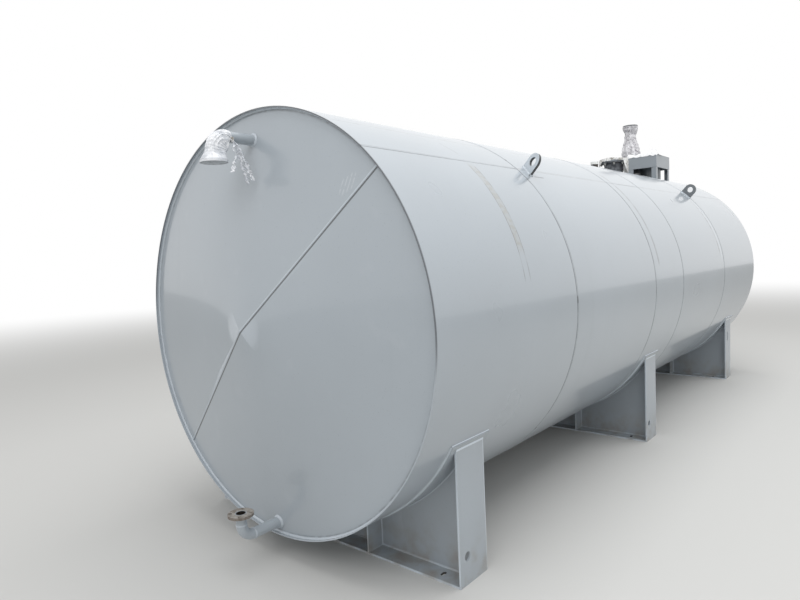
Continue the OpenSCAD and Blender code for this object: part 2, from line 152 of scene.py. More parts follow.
class Paint:
    """One material, the nodes that make it, and the colour mixed so far."""

    def __init__(self, name, colour=None):
        self.material = bpy.data.materials.new(name)
        self.material.use_nodes = True
        self.tree = self.material.node_tree
        self.tree.nodes.clear()
        self.colour = colour
        self.place = self.node("TexCoord", out="Object")
        self.x, self.y, self.z = (
            self.node("SeparateXYZ", {}, [self.place], out=i) for i in range(3)
        )

    def node(self, kind, settings=None, sockets=(), out=0):
        """Adds a node of any kind, with its settings and what goes into its sockets."""
        made = self.tree.nodes.new("ShaderNode" + kind)
        for key, value in (settings or {}).items():
            setattr(made, key, value)
        pairs = sockets.items() if isinstance(sockets, dict) else enumerate(sockets)
        for key, value in pairs:
            if isinstance(value, Value):
                self.tree.links.new(value.socket, made.inputs[key])
            else:
                made.inputs[key].default_value = value
        return Value(self, made.outputs[out]) if len(made.outputs) else made

    def maths(self, operation, *inputs):
        return self.node("Math", {"operation": operation}, inputs)

    def vector(self, operation, *inputs):
        """Vector maths. A length or a distance comes out as a plain number."""
        out = "Value" if operation in ("LENGTH", "DISTANCE") else 0
        return self.node("VectorMath", {"operation": operation}, inputs, out)

    def noise(self, scale, detail, stretch=(1, 1, 1)):
        sockets = {"Vector": self.vector("MULTIPLY", self.place, stretch), "Scale": scale, "Detail": detail}
        return self.node("TexNoise", {}, sockets, out="Fac")

    def step(self, value, low, high):
        """0 below low, 1 above high, and a smooth rise between them."""
        return self.node("MapRange", {"interpolation_type": "SMOOTHSTEP"}, [value, low, high])

    def patches(self, scale, detail, low, high, stretch=(1, 1, 1)):
        """Blotches of 1 on 0, where noise rises from low to high."""
        return self.step(self.noise(scale, detail, stretch), low, high)

    def band(self, value, middle, half, soft):
        """1 within half of middle, fading to 0 over soft."""
        return 1 - self.step(abs(value - middle), half, half + soft)

    def coat(self, mask, colour):
        """Puts a colour over what is there so far, where the mask is 1."""
        sockets = {0: mask, 6: self.colour, 7: colour}
        self.colour = self.node("Mix", {"data_type": "RGBA"}, sockets, out=2)

    def bump(self, height, distance, strength=1.0, before=None):
        sockets = {"Height": height, "Distance": distance, "Strength": strength}
        if before is not None:
            sockets["Normal"] = before
        return self.node("Bump", {}, sockets, out="Normal")

    def finish(self, sockets):
        shader = self.node("BsdfPrincipled", {}, {"Base Color": self.colour, **sockets})
        self.node("OutputMaterial", {}, {"Surface": shader})
        return self.material


print("paint tools ready")

# %% [markdown]
# ## Grey enamel
# The whole tank is sprayed with one light grey enamel. Close up it isn't one colour: the
# spray leaves faint clouds, dust settles low down, and the wet film levels into a fine
# orange peel. The plate behind it is never quite flat, which shows as slow ripples in what
# the gloss reflects. One function mixes this paint, and each piece adds its marks.

# %% Enamel
ENAMEL = (168, 176, 183)
DUST = rgb(139, 128, 112)


def tone(share):
    """The enamel's colour, made lighter or darker."""
    return rgb(*(c * share for c in ENAMEL))


def grey_enamel(name, share=1.0, gloss=0.24, ripple=0.0016, marks=None, dust_top=0.16):
    """Sprayed enamel; marks is a function that puts its own coats over the first colour."""
    paint = Paint(name, tone(0.965 * share))
    clouds = paint.noise(1.3, 4)
    paint.coat(clouds, tone(1.035 * share))
    if marks:
        marks(paint)
    paint.coat(paint.patches(160, 1, 0.735, 0.76) * 0.35, tone(0.62))
    dust = (1 - paint.step(paint.z, 0.0, dust_top)) * paint.patches(9, 5, 0.36, 0.72) * 0.6
    paint.coat(dust, DUST)
    waves = paint.bump(paint.noise(2.1, 1, (0.55, 1, 1)), ripple)
    return paint.finish({
        "Roughness": gloss + clouds * 0.10 + dust * 0.4,
        "Normal": paint.bump(paint.noise(230, 1), 0.00006, before=waves),
        "Coat Weight": 0.6, "Coat Roughness": 0.085,
    })


print("enamel colour", ENAMEL)

# %% [markdown]
# ## Marks on the shell and the head
# Lifting straps and tape leave lines across the shell, and round joints gather grime in the toes of their
# welds. Painted shade adds a dark line on the near rim's plate edge, a shadow under the head's joint and a
# darker corner where the head meets the shell. Each mark is a mask made from two coordinates: how far along
# the tank it is, and how far round from the crown. So a mark can be moved by changing one number.

# %% Shell and head marks
# Grey for grime lines on the shell, and for painted shade in the head's corner by the rim.
GRIME_AND_SHADE = rgb(104, 106, 108)
SCRAPE_Y, SCRAPE_Z = -0.712, 0.722  # the scratches on the head, from its tip
SEAM_SIN, SEAM_COS = 0.669, 0.743  # of the head joint's slope of 42 degrees


def shell_marks(paint):
    """Marks at a distance from the near rim, in metres, and an angle from the crown, in degrees."""
    along = paint.x - NEAR
    turn = paint.maths("ARCTAN2", 0 - paint.y, paint.z - AXIS_Z) * (180 / pi)
    worn = paint.patches(11, 4, 0.40, 0.52)
    toes = sum(paint.band(abs(along - (joint - NEAR)), 0.0074, 0.0022, 0.0018) for joint in JOINTS)
    paint.coat(toes * (0.62 + worn * 0.35), rgb(92, 95, 99))
    spots = paint.band(along, 1.462, 0.004, 0.003) * paint.patches(16, 1, 0.66, 0.70)
    paint.coat(spots * 0.8, rgb(70, 72, 74))

    edge = paint.noise(3.0, 2) * 0.006 - 0.003
    leaning = along + (turn - 45) * 0.00045
    glue = 0.42 + paint.patches(38, 3, 0.46, 0.56) * 0.50
    side = 0.25 + 0.5 * worn
    torn = 0.30 + 0.60 * paint.patches(14, 2, 0.44, 0.50)
    # What is measured; middle, half and softness along; the same three round; strength; colour.
    for where, across, around, strength, colour in (
        (leaning + edge, (0.884, 0.026, 0.004), (58, 12, 4), glue, rgb(158, 160, 158)),
        (leaning, (0.855, 0.0018, 0.002), (62, 17, 2), side, GRIME_AND_SHADE),
        (leaning, (0.913, 0.0018, 0.002), (62, 17, 2), side, GRIME_AND_SHADE),
        (along + edge, (3.088, 0.012, 0.008), (58, 21, 3), 0.30 + 0.35 * worn, rgb(116, 121, 126)),
        (along + edge * 0.5, (5.158, 0.010, 0.006), (64, 15, 3), torn, rgb(104, 108, 114)),
        (along + edge * 0.5, (5.215, 0.030, 0.012), (60, 20, 4), 0.6, tone(1.10)),
        (along - turn * 0.008, (0.579, 0.002, 0.002), (35.4, 2.6, 0.6), 0.6, GRIME_AND_SHADE),
        (along, (0.74, 0.66, 0.04), (28.2, 0.06, 0.10), 0.45 + 0.40 * worn, GRIME_AND_SHADE),
        (along, (1.672, 0.062, 0.008), (45.3, 0.18, 0.12), 0.85, rgb(100, 105, 111)),
        # Painted shade: the next row darkens the shell's plate edge along the near rim.
        (along, (0.0, 0.004, 0.003), (5, 84, 12), 0.85, rgb(84, 88, 94)),
    ):
        paint.coat(paint.band(where, *across) * paint.band(turn, *around) * strength, colour)

    paint.coat(paint.band(abs(turn - 42), 0.31, 0.03, 0.09) * (0.45 + 0.45 * worn), GRIME_AND_SHADE)
    streaks = paint.patches(7.0, 4, 0.56, 0.78, (1, 0.05, 0.05)) * paint.step(turn, 50, 100)
    paint.coat(streaks * 0.10, tone(0.84))


def head_marks(paint):
    """Chalk-like scratches below the upper end of the joint, a painted shadow under the joint's lapped edge,
    painted shade in the corner by the rim, and a faint rubbed patch.
    """
    high = paint.z - AXIS_Z - SCRAPE_Z
    level = paint.band(high + 0.5 * (paint.y - SCRAPE_Y), 0, 0.030, 0.012)
    scrape = paint.band(paint.y, SCRAPE_Y, 0.044, 0.008) * level
    stroke = paint.maths("SINE", (paint.y + 0.35 * high) * 285)
    comb = paint.step(stroke, 0.35, 0.75) * paint.patches(70, 2, 0.36, 0.50)
    paint.coat(scrape * comb * 0.30, rgb(214, 217, 220))
    joint = paint.y * SEAM_SIN + (paint.z - AXIS_Z) * SEAM_COS
    # Painted shadow: a dark band along the joint's lower side, where its lapped edge would cast shade.
    paint.coat(paint.band(joint + 0.0085, 0, 0.0045, 0.002) * 0.85, rgb(72, 74, 76))
    from_axis = paint.vector("SUBTRACT", paint.place, (0, 0, AXIS_Z))
    off_axis = paint.vector("LENGTH", paint.vector("MULTIPLY", from_axis, (0, 1, 1)))
    # Painted shade: darker in the corner by the rim, where the head meets the shell.
    corner = paint.step(off_axis, SHELL_R - 0.028, SHELL_R - 0.018) * paint.patches(24, 3, 0.30, 0.60)
    paint.coat(corner * 0.45, GRIME_AND_SHADE)
    paint.coat(paint.patches(5.5, 4, 0.60, 0.76) * 0.07, rgb(206, 210, 214))
    paint.coat(paint.patches(10, 3, 0.60, 0.80, (1, 1, 0.08)) * 0.06, tone(0.8))


SHELL_PAINT = grey_enamel("shell_enamel", marks=shell_marks)
HEAD_PAINT = grey_enamel("head_enamel", 0.985, gloss=0.27, marks=head_marks)
print("shell and head paint mixed")

# %% [markdown]
# ## Saddles, lugs and pipes
# The feet stand in splashed water, so their paint is duller and dustier near the floor, and rust starts where
# the plates' cut edges meet it. The base plates' cut edges get a painted highlight, and the walls of the
# anchor slots and the bores of the end nozzles get painted shade. Lugs and pipes get the same enamel with a
# coarser spray. Darker copies of this enamel are painted shade, and one lighter copy is a painted highlight
# on some saddle welds.

# %% Paint for the saddles and the small pieces
RUST = rgb(122, 84, 58)
PAD_OUT = 0.0103  # from the shell to the wear pad's outer face
WEB_OUT = 0.0106  # from the shell to the web's curved edge
SLOT_X, SLOT_Y = 0.065, 0.888  # the anchor slots' places on a base plate
BORE_IN, BORE_OUT = 0.0268, 0.0272  # just inside and outside the wall of an end nozzle


def saddle_marks(paint):
    splash = (1 - paint.step(paint.z, 0.02, 0.55)) * paint.patches(5, 5, 0.45, 0.75)
    paint.coat(splash * 0.12, DUST)
    rust = (1 - paint.step(paint.z, 0.004, 0.045)) * paint.patches(30, 4, 0.56, 0.66)
    paint.coat(rust * 0.14, RUST)
    paint.coat(paint.patches(8, 5, 0.62, 0.72, (1, 1, 0.3)) * 0.16, tone(1.15))
    edge_highlight = 0
    for name in SADDLES:
        lo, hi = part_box(f"{name}_base")
        front = 1 - paint.step(paint.x, lo.x + 0.0006, lo.x + 0.0012)
        front = front * paint.step(paint.x, lo.x - 0.01, lo.x - 0.009)
        corner = paint.band(paint.x, hi.x, 0.0045, 0.001) * paint.band(abs(paint.y), hi.y, 0.012, 0.001)
        edge_highlight = edge_highlight + (front + corner)
        slot_x = paint.band(abs(paint.x - (lo.x + hi.x) / 2), SLOT_X, 0.0218, 0.0006)
        slot_y = paint.band(abs(paint.y), SLOT_Y, 0.0115, 0.0006)
        # Painted shade: the anchor slots' walls are nearly black.
        slot_shade = slot_x * slot_y * (1 - paint.step(paint.z, 0.0112, 0.0118))
        paint.coat(slot_shade * 0.95, rgb(24, 22, 20))
    drop = paint.z - AXIS_Z
    far_out = paint.y * paint.y + drop * drop
    below_pad = paint.step(far_out, (SHELL_R + WEB_OUT) ** 2, (SHELL_R + WEB_OUT + 0.001) ** 2)
    # Painted highlight: the base plates' cut edges are lightened below the wear pad.
    paint.coat(edge_highlight * below_pad * 0.7, tone(1.24))


def middle_of(name):
    lo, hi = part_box(name)
    return (lo + hi) / 2


def small_marks(paint):
    """Blotches, and painted shade inside the bores of the two end nozzles."""
    paint.coat(paint.patches(34, 4, 0.55, 0.75) * 0.18, tone(0.80))
    for name in ("lower_nozzle", "upper_nozzle"):
        middle = middle_of(f"{name}_flange")
        flat = paint.vector("MULTIPLY", paint.place, (1, 1, 0))
        away = paint.vector("DISTANCE", flat, (middle.x, middle.y, 0))
        # Painted shade: the bore of each end nozzle is dark inside.
        inside = (1 - paint.step(away, BORE_IN, BORE_OUT)) * paint.band(paint.z, middle.z, 0.070, 0.004)
        paint.coat(inside, rgb(46, 40, 36))


SADDLE_PAINT = grey_enamel("saddle_enamel", 0.97, 0.36, 0.0006, saddle_marks, dust_top=0.30)
SMALL_PAINT = grey_enamel("fittings_enamel", 0.99, 0.32, 0.0002, small_marks)
WELD_PAINT = grey_enamel("weld_enamel", 1.10, 0.30, 0.0002, small_marks)
# Painted highlight: a much lighter enamel for the welds along the wear pads' ends and the side plates' tops.
HIGHLIGHT_PAINT = grey_enamel("painted_highlight_enamel", 1.26, 0.30, 0.0002)
# Painted shade: the frame's enamel is a darker copy.
FRAME_SHADE_PAINT = grey_enamel("frame_shade_enamel", 0.80, 0.36, 0.0004, small_marks)
# Painted shade: the vent flange's enamel, darker still.
VENT_FLANGE_SHADE_PAINT = grey_enamel("vent_flange_shade_enamel", 0.52, 0.4, 0.0002, small_marks)
# Painted shade: the darkest copy, on the first lugs' edges.
LUG_EDGE_SHADE_PAINT = grey_enamel("lug_edge_painted_shade", 0.36, 0.5, 0.0004, small_marks)
# Painted shade: a darker copy for the frame's neck and back sheet and the second lugs.
SHADE_GREY_PAINT = grey_enamel("painted_shade_grey", 0.62, 0.4, 0.0002, small_marks)
print("saddle and fitting paint mixed")

# %% [markdown]
# ## Bare steel, zinc and plastic
# The lower flange was left unpainted, so that its face stays true for the gasket. It has
# dulled to a warm grey with some rust, except for the turned ring round the bore. The
# filling neck still has the dark scale of the rolling mill, and the gauge socket is rusty
# and wears a moulded cap. The bolts on the cover are zinc plated.

# %% Bare steel, zinc and the plastic cap
def bare_steel():
    """The unpainted flange; the rings are the marks of the lathe."""
    paint = Paint("bare_steel", rgb(164, 160, 154))
    away = paint.vector("DISTANCE", paint.place, tuple(middle_of("lower_nozzle_flange")))
    bloom = paint.noise(46, 6)
    paint.coat(paint.step(bloom, 0.34, 0.66), rgb(126, 119, 112))
    paint.coat(paint.patches(95, 4, 0.60, 0.70) * 0.4, rgb(92, 68, 52))
    paint.coat(paint.step(away, 0.0695, 0.0702) * 0.5, rgb(86, 70, 58))
    turned = paint.band(away, 0.0305, 0.0030, 0.001)
    paint.coat(turned * 0.75, rgb(196, 194, 190))
    rings = paint.node(
        "TexWave", {"wave_type": "RINGS", "rings_direction": "Z"},
        {"Vector": paint.place, "Scale": 260.0, "Distortion": 0.4}, out="Fac",
    )
    lathe = paint.bump(rings, 0.0001, before=paint.bump(bloom, 0.0006))
    return paint.finish({"Metallic": turned * 0.5 + 0.15, "Roughness": 0.62 - turned * 0.22, "Normal": lathe})


def metal(name, grain, colours, metallic, rough, pits, rust=0.0, even=False):
    """Colour, roughness and pits follow one noise. Rust adds brown spots; even softens the noise."""
    paint = Paint(name, colours[0])
    bloom = paint.noise(*grain)
    paint.coat(bloom if even else paint.step(bloom, 0.35, 0.65), colours[1])
    if rust:
        paint.coat(paint.patches(16, 4, 0.60, 0.74) * rust, rgb(104, 78, 60))
    return paint.finish({
        "Metallic": metallic, "Roughness": rough[0] + bloom * rough[1], "Normal": paint.bump(bloom, pits),
    })


def moulded_plastic():
    paint = Paint("cap_plastic", rgb(228, 229, 226))
    scuffs = paint.patches(70, 5, 0.55, 0.70)
    paint.coat(scuffs * 0.4, rgb(186, 184, 178))
    grain = paint.bump(paint.noise(300, 2), 0.0001)
    return paint.finish({"Roughness": 0.38 + scuffs * 0.25, "Normal": grain})


BARE_STEEL = bare_steel()
RUST_GREYS = (rgb(84, 74, 66), rgb(50, 47, 45))
SCALE_GREYS = (rgb(112, 115, 120), rgb(78, 80, 84))
ZINC_GREYS = (rgb(150, 152, 152), rgb(190, 190, 184))
RUSTY_PIPE = metal("rusty_pipe", (60, 5), RUST_GREYS, 0.2, (0.55, 0.3), 0.0006)
MILL_SCALE = metal("mill_scale", (34, 5), SCALE_GREYS, 0.35, (0.50, 0.25), 0.0005, rust=0.45)
ZINC = metal("zinc_plate", (120, 4), ZINC_GREYS, 0.85, (0.32, 0.25), 0.0002, even=True)
CAP_PLASTIC = moulded_plastic()
print("metals and plastic mixed")

# %% [markdown]
# ## Packing film
# Thin polythene film is clear where it lies flat and milky where it creases, so its alpha
# follows the same wrinkles that bend its normals. A film this thin needs no thickness.

# %% Film
def packing_film(name, pale, deep, clear=0.80, scale=26, lines=0.6):
    """clear is the alpha of flat film; lines is how white the sharp creases are."""
    paint = Paint(name, deep)
    creases = paint.noise(scale, 4)
    sharp = paint.step(1 - abs(creases - 0.5) * 7, 0.30, 1.0)
    milky = paint.patches(scale * 0.5, 3, 0.35, 0.70)
    paint.coat(milky, pale)
    paint.coat(sharp * lines, rgb(248, 249, 250))
    folded = paint.bump(creases, 0.006, 0.7)
    hidden = 0.98 - clear
    return paint.finish({
        "Roughness": 0.26 + creases * 0.2, "Alpha": clear + sharp * hidden * 0.6 + milky * hidden * 0.4,
        "Normal": paint.bump(paint.noise(scale * 5, 3), 0.0008, 0.5, before=folded),
        "Coat Weight": 0.3, "Coat Roughness": 0.12,
    })


FILM = packing_film("packing_film", rgb(238, 240, 244), rgb(214, 218, 225), scale=34, lines=0.35)
# Painted shade: the film across the bag's mouth is a darker grey.
SHADED_MOUTH_FILM = packing_film("mouth_film_painted_shade", rgb(176, 180, 184), rgb(146, 150, 154), clear=0.86, lines=0.2)
WHITE_FILM = packing_film("white_film", rgb(246, 246, 246), rgb(226, 227, 230), clear=0.93)
AGED_FILM = packing_film("aged_film", rgb(230, 230, 227), rgb(146, 142, 134), clear=0.92)
SLEEVE_FILM = packing_film("sleeve_film", rgb(206, 205, 209), rgb(150, 147, 153), 0.93, scale=44, lines=0.5)
print("film mixed")

# %% [markdown]
# ## Paint the steel
# The steel pieces already have their shapes, so they only take a material in each slot. The
# table is read from the top, and the first entry that a piece's name begins with counts.

# %% Materials for the steel pieces
# The darker enamels here are painted shade: on the frame, its neck, the vent flange and the second lugs.
FINISH = {
    "shell_course": SHELL_PAINT, "near_head": HEAD_PAINT, "far_head": HEAD_PAINT,
    "saddle": SADDLE_PAINT, "lower_nozzle_flange": BARE_STEEL, "gauge_socket": RUSTY_PIPE,
    "gauge_cap": CAP_PLASTIC, "fill_neck": MILL_SCALE, "fill_flange": MILL_SCALE,
    "frame_neck": SHADE_GREY_PAINT, "frame_": FRAME_SHADE_PAINT, "vent_flange": VENT_FLANGE_SHADE_PAINT, "lug_2": SHADE_GREY_PAINT,
}
for node_name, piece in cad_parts.items():
    material = next((m for start, m in FINISH.items() if node_name.startswith(start)), SMALL_PAINT)
    if not piece.material_slots:
        piece.data.materials.append(material)
    for place in piece.material_slots:
        place.material = material
print("painted", len(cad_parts), "pieces")

# %% [markdown]
# ## Making pieces from rings
# Weld runs, lugs and film are all the same kind of mesh: a row of sections, each with the same number of
# points, joined to the next. One function builds the mesh, gives it its materials and hangs it under the
# tank's root, so the rest of the notebook only has to say where the points are.

# %% Mesh from rows of points
def dress(name, mesh, materials, smooth=True):
    """Links a mesh as a piece of the tank, with its materials, slot and body."""
    for material in materials:
        mesh.materials.append(material)
    mesh.polygons.foreach_set("use_smooth", [smooth] * len(mesh.polygons))
    mesh.update()
    piece = add_object(name, mesh)
    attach(piece, "root")
    return piece


def piece_from_rows(name, rows, material, wrap=False, closed=False, smooth=True):
    """rows is an array of points [row, point, xyz]; wrap joins a row's ends, closed the rows'."""
    rows = np.asarray(rows, float)
    count, across = rows.shape[:2]
    faces = []
    for i in range(count if closed else count - 1):
        j = (i + 1) % count
        for k in range(across if wrap else across - 1):
            m = (k + 1) % across
            faces.append((i * across + k, i * across + m, j * across + m, j * across + k))
    mesh = bpy.data.meshes.new(name)
    mesh.from_pydata(rows.reshape(-1, 3).tolist(), [], faces)
    return dress(name, mesh, [material], smooth)


def join_pieces(name, parts):
    """Makes one enamelled piece of several, and each part keeps its own material."""
    bm = bmesh.new()
    kinds = []
    for part in parts:
        before = len(bm.faces)
        bm.from_mesh(part.data)
        bm.faces.ensure_lookup_table()
        material = part.data.materials[0]
        if material not in kinds:
            kinds.append(material)
        for face in bm.faces[before:]:
            face.material_index = kinds.index(material)
    for part in parts:
        bpy.data.objects.remove(part)
    mesh = bpy.data.meshes.new(name)
    bm.to_mesh(mesh)
    bm.free()
    return dress(name, mesh, kinds)


print("mesh tools ready")

# %% [markdown]
# ## Weld runs
# A weld run is a string of overlapping drops that fills the corner between two plates with
# a slightly round face, one leg along each plate. So a run needs only its corner's path and
# the two directions that lead away along the plates. The drops are a small swell that
# repeats every few millimetres, and a slow wander keeps it from looking machined.

# %% Fillet welds
RIPPLE = 0.007
X, Y, Z = Vector((1, 0, 0)), Vector((0, 1, 0)), Vector((0, 0, 1))


def resample(points, gap):
    """Points at equal steps along a path, so that every run has ripples of one size."""
    points = np.asarray([tuple(Vector(p)) for p in points], float)
    lengths = np.r_[0, np.cumsum(np.linalg.norm(np.diff(points, axis=0), axis=1))]
    steps = max(2, int(lengths[-1] / gap) + 1)
    at = np.linspace(0, lengths[-1], steps)
    return np.stack([np.interp(at, lengths, points[:, i]) for i in range(3)], axis=1), at


def fillet(name, corner, leg_a, leg_b, size, material=WELD_PAINT):
    """A run along corner. A leg is a direction along one plate, or a function of the point."""
    rows = []
    for spot, s in zip(*resample(corner, RIPPLE / 3)):
        here = Vector(spot)
        swell = 1 + 0.10 * sin(2 * pi * s / RIPPLE) + 0.16 * noise(here * 9)
        a, b = (Vector(leg(spot) if callable(leg) else leg) * size * swell for leg in (leg_a, leg_b))
        inner = [here + a * 0.72 + b * 0.40, here + (a + b) * 0.58, here + b * 0.72 + a * 0.40]
        rows.append([here + a, *inner, here + b])
    return piece_from_rows(name, rows, material)


def weld_runs(name, runs):
    """One piece of many runs; each entry is what a fillet takes after its name."""
    return join_pieces(name, [fillet("run", *run) for run in runs])


def circle(centre, radius, u, v, steps):
    """Points round a circle in the plane of u and v."""
    angles = np.radians(np.linspace(0, 360, steps))
    return [centre + u * (radius * cos(a)) + v * (radius * sin(a)) for a in angles]


def outward(spot):
    """Away from the tank's axis."""
    return Vector((0, spot[1], spot[2] - AXIS_Z)).normalized()


print("ripple every", RIPPLE * 1000, "mm")

# %% [markdown]
# ## Welds on the heads
# Each head sits 25 mm inside its rim, with a fillet all round between the cone and the
# shell. The head itself is two half plates, joined by a raised run straight through the
# tip. That run stands on the cone, so it is a ridge and not a fillet.

# %% Head welds
SLOPE = atan2(HEAD_RISE, SHELL_R - 0.0063)
SEAM_ANGLES = (42, 222)
SEAM_ACROSS = np.array([-1.0, -0.62, 0.0, 0.62, 1.0]) * 0.0055
SEAM_LIFT = np.array([-0.0004, 0.0018, 0.0026, 0.0018, -0.0004])


def head_welds(end, rim_x, side):
    """The round fillet and the raised run; side is -1 at the near end and 1 at the far end."""
    edge_x = rim_x - side * HEAD_RECESS
    ring = circle(Vector((edge_x, 0, AXIS_Z)), SHELL_R - 0.0061, Y, Z, 400)
    along_cone = lambda spot: X * side * sin(SLOPE) - outward(spot) * cos(SLOPE)
    fillet(f"{end}_head_weld", ring, X * side, along_cone, 0.009)

    rows = []
    reach = SHELL_R - 0.0075
    for r in np.arange(-reach, reach, 0.0026):
        turn = radians(SEAM_ANGLES[0] if r < 0 else SEAM_ANGLES[1])
        out = Vector((0, -cos(turn), sin(turn)))
        spot = Vector((edge_x + side * HEAD_RISE * (1 - abs(r) / SHELL_R), 0, AXIS_Z)) + out * abs(r)
        flat = Vector((0, out.z, -out.y)) * (1 if r < 0 else -1)
        normal = (X * side * cos(SLOPE) + out * sin(SLOPE)).normalized()
        swell = 1 + 0.10 * sin(2 * pi * r / RIPPLE) + 0.14 * noise(spot * 8)
        row = [spot + flat * a * swell + normal * h * swell for a, h in zip(SEAM_ACROSS, SEAM_LIFT)]
        for v in row:
            v.x = min(v.x, cad_box[1].x)
        rows.append(row)
    piece_from_rows(f"{end}_head_seam", rows, WELD_PAINT)


head_welds("near", NEAR, -1)
head_welds("far", FAR, 1)
print("head welds made")

# %% [markdown]
# ## Welds on the saddles
# A saddle is a stack of plates, and every meeting of two plates is welded: the web, sides
# and ribs to the base, the sides and ribs to the web, the web and sides to the wear pad,
# and the pad's edges to the shell.

# %% Saddle welds
PLATE_T = 0.010
RIB_RUN = 0.17  # how far up the web a rib is welded


def on_shell(x, angle, out=0.0):
    """A point on the shell: x along the tank, angle in degrees from the crown to the open side."""
    a = radians(angle)
    r = SHELL_R + out
    return Vector((x, -r * sin(a), AXIS_Z + r * cos(a)))


def saddle_welds(name):
    (base_lo, base_hi), (web_lo, web_hi), (pad_lo, pad_hi), (side_lo, side_hi), (rib_lo, rib_hi) = (
        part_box(f"{name}_{plate}") for plate in ("base", "web", "pad", "sides", "ribs")
    )
    top = base_hi.z
    webs = ((-1, web_lo.x), (1, web_hi.x))
    runs = [([(x, web_lo.y, top), (x, web_hi.y, top)], X * face, Z, 0.007) for face, x in webs]
    seat_r = SHELL_R + PAD_OUT
    for side in (-1, 1):
        inner = (side_hi.y - PLATE_T) * side
        outer = side_hi.y * side
        runs.append(([(base_lo.x, inner, top), (base_hi.x, inner, top)], Y * -side, Z, 0.006))
        for face, x in webs:
            runs.append(([(x, inner, top), (x, inner, side_hi.z - 0.06)], X * face, Y * -side, 0.006))
        seat = sqrt(seat_r ** 2 - outer ** 2)
        up_pad = Vector((0, seat * side, abs(outer))) / seat_r
        line = [(side_lo.x, outer, AXIS_Z - seat), (side_hi.x, outer, AXIS_Z - seat)]
        # Painted highlight: this weld takes the lighter enamel.
        runs.append((line, up_pad, -Z, 0.007, HIGHLIGHT_PAINT))
        for way, x in ((-1, base_lo.x), (1, base_hi.x)):
            runs.append(([(x, outer - side * PLATE_T, top), (x, outer, top)], X * way * 0.2, Z, 0.004))
    rib_y = rib_hi.y - PLATE_T / 2
    for face, x in webs:
        tip_x = base_lo.x if face < 0 else base_hi.x
        for rib in (-rib_y, rib_y):
            for flank in (-1, 1):
                y = rib + flank * PLATE_T / 2
                runs.append(([(x, y, top), (tip_x, y, top)], Y * flank, Z, 0.005))
                runs.append(([(x, y, top), (x, y, rib_lo.z + RIB_RUN)], Y * flank, X * face, 0.005))
    half = degrees(asin(pad_hi.y / seat_r))
    inside = degrees(asin((side_hi.y - PLATE_T - 0.001) / (SHELL_R + WEB_OUT)))
    pads = ((-1, pad_lo.x), (1, pad_hi.x))
    for faces, reach, out, size in ((pads, half, 0.0, 0.007), (webs, inside, WEB_OUT, 0.006)):
        for face, x in faces:
            arc = [on_shell(x, 180 + a, out) for a in np.linspace(-reach, reach, 160)]
            runs.append((arc, X * face, outward, size))
    for end in (-1, 1):
        a = 180 + end * half
        tangent = Vector((0, -cos(radians(a)), -sin(radians(a)))) * end
        # Painted highlight: these welds take the lighter enamel.
        runs.append(([on_shell(pad_lo.x, a), on_shell(pad_hi.x, a)], tangent, outward, 0.004, HIGHLIGHT_PAINT))
    return weld_runs(f"{name}_welds", runs)


for saddle in SADDLES:
    saddle_welds(saddle)
print("saddle welds made")

# %% [markdown]
# ## Lifting lugs
# Four lugs stand on the shell, each a plate with a round top and one eye. The first pair is turned a little
# about its foot, so turned plates take the place of the steel pieces there, with their edges dark from
# painted shade. A lug takes a full fillet on both faces and at both ends.

# %% Lugs and their welds
LUG_ANGLE = 42.5
LUG_TURN = -28
LUG_HALF_W = 0.120 / 2
LUG_T = 0.020
EYE_H = 0.072
EYE_R = 0.030
BEVEL = 0.001


def lug_frame(name, sign, turned):
    """Middle of the lug's foot, and its directions: up from the shell, across, and through."""
    lo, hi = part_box(name)
    a = radians(sign * LUG_ANGLE)
    up = Vector((0, -sin(a), cos(a)))
    down_side = Vector((0, -cos(a), -sin(a))) * sign
    t = radians(turned)
    across = down_side * cos(t) + X * sin(t)
    through = X * cos(t) - down_side * sin(t)
    return Vector(((lo.x + hi.x) / 2, 0, AXIS_Z)) + up * SHELL_R, up, across, through


def on_skin(spot):
    """The same point, moved straight out or in to the shell's outer face."""
    return Vector((spot.x, 0, AXIS_Z)) + outward(spot) * SHELL_R


def lug_plate(name, sign, turned):
    """A plate with a round top and one eye, its foot cut to the shell."""
    foot, up, across, through = lug_frame(name, sign, turned)
    half = LUG_HALF_W
    outline = [(half * cos(b), EYE_H + half * sin(b)) for b in np.radians(np.linspace(0, 180, 61))]
    outline += [(-half, h) for h in np.linspace(EYE_H, 0, 14)[1:]]
    outline += [(w, 0.0) for w in np.linspace(-half, half, 30)[1:]]
    outline += [(half, h) for h in np.linspace(0, EYE_H, 14)[1:-1]]

    def ring(inset, depth, eye=False):
        """The outline, drawn in by inset; or the eye's edge, which grows by it."""
        row = []
        for w, h in outline:
            away = Vector((w, h - EYE_H, 0)).normalized()
            if eye:
                w, h = away.x * (EYE_R + inset), EYE_H + away.y * (EYE_R + inset)
            else:
                w, h = w - away.x * inset, h - away.y * inset if h > 0 else h
            spot = foot + across * w + up * h + through * depth
            row.append(on_skin(spot) if h <= 0 else spot)
        return row

    deep = LUG_T / 2
    rows = [
        ring(0, -deep + BEVEL, eye=True), ring(BEVEL, -deep, eye=True),
        ring(BEVEL, -deep), ring(0, -deep + BEVEL), ring(0, deep - BEVEL), ring(BEVEL, deep),
        ring(BEVEL, deep, eye=True), ring(0, deep - BEVEL, eye=True),
    ]
    plate = piece_from_rows(f"{name}_plate", rows, WELD_PAINT, wrap=True, closed=True, smooth=False)
    # The plate's edges take the darkest enamel, as painted shade.
    plate.data.materials.append(LUG_EDGE_SHADE_PAINT)
    for face in plate.data.polygons:
        if abs(face.normal.dot(through)) < 0.5:
            face.material_index = 1
    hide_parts(name)


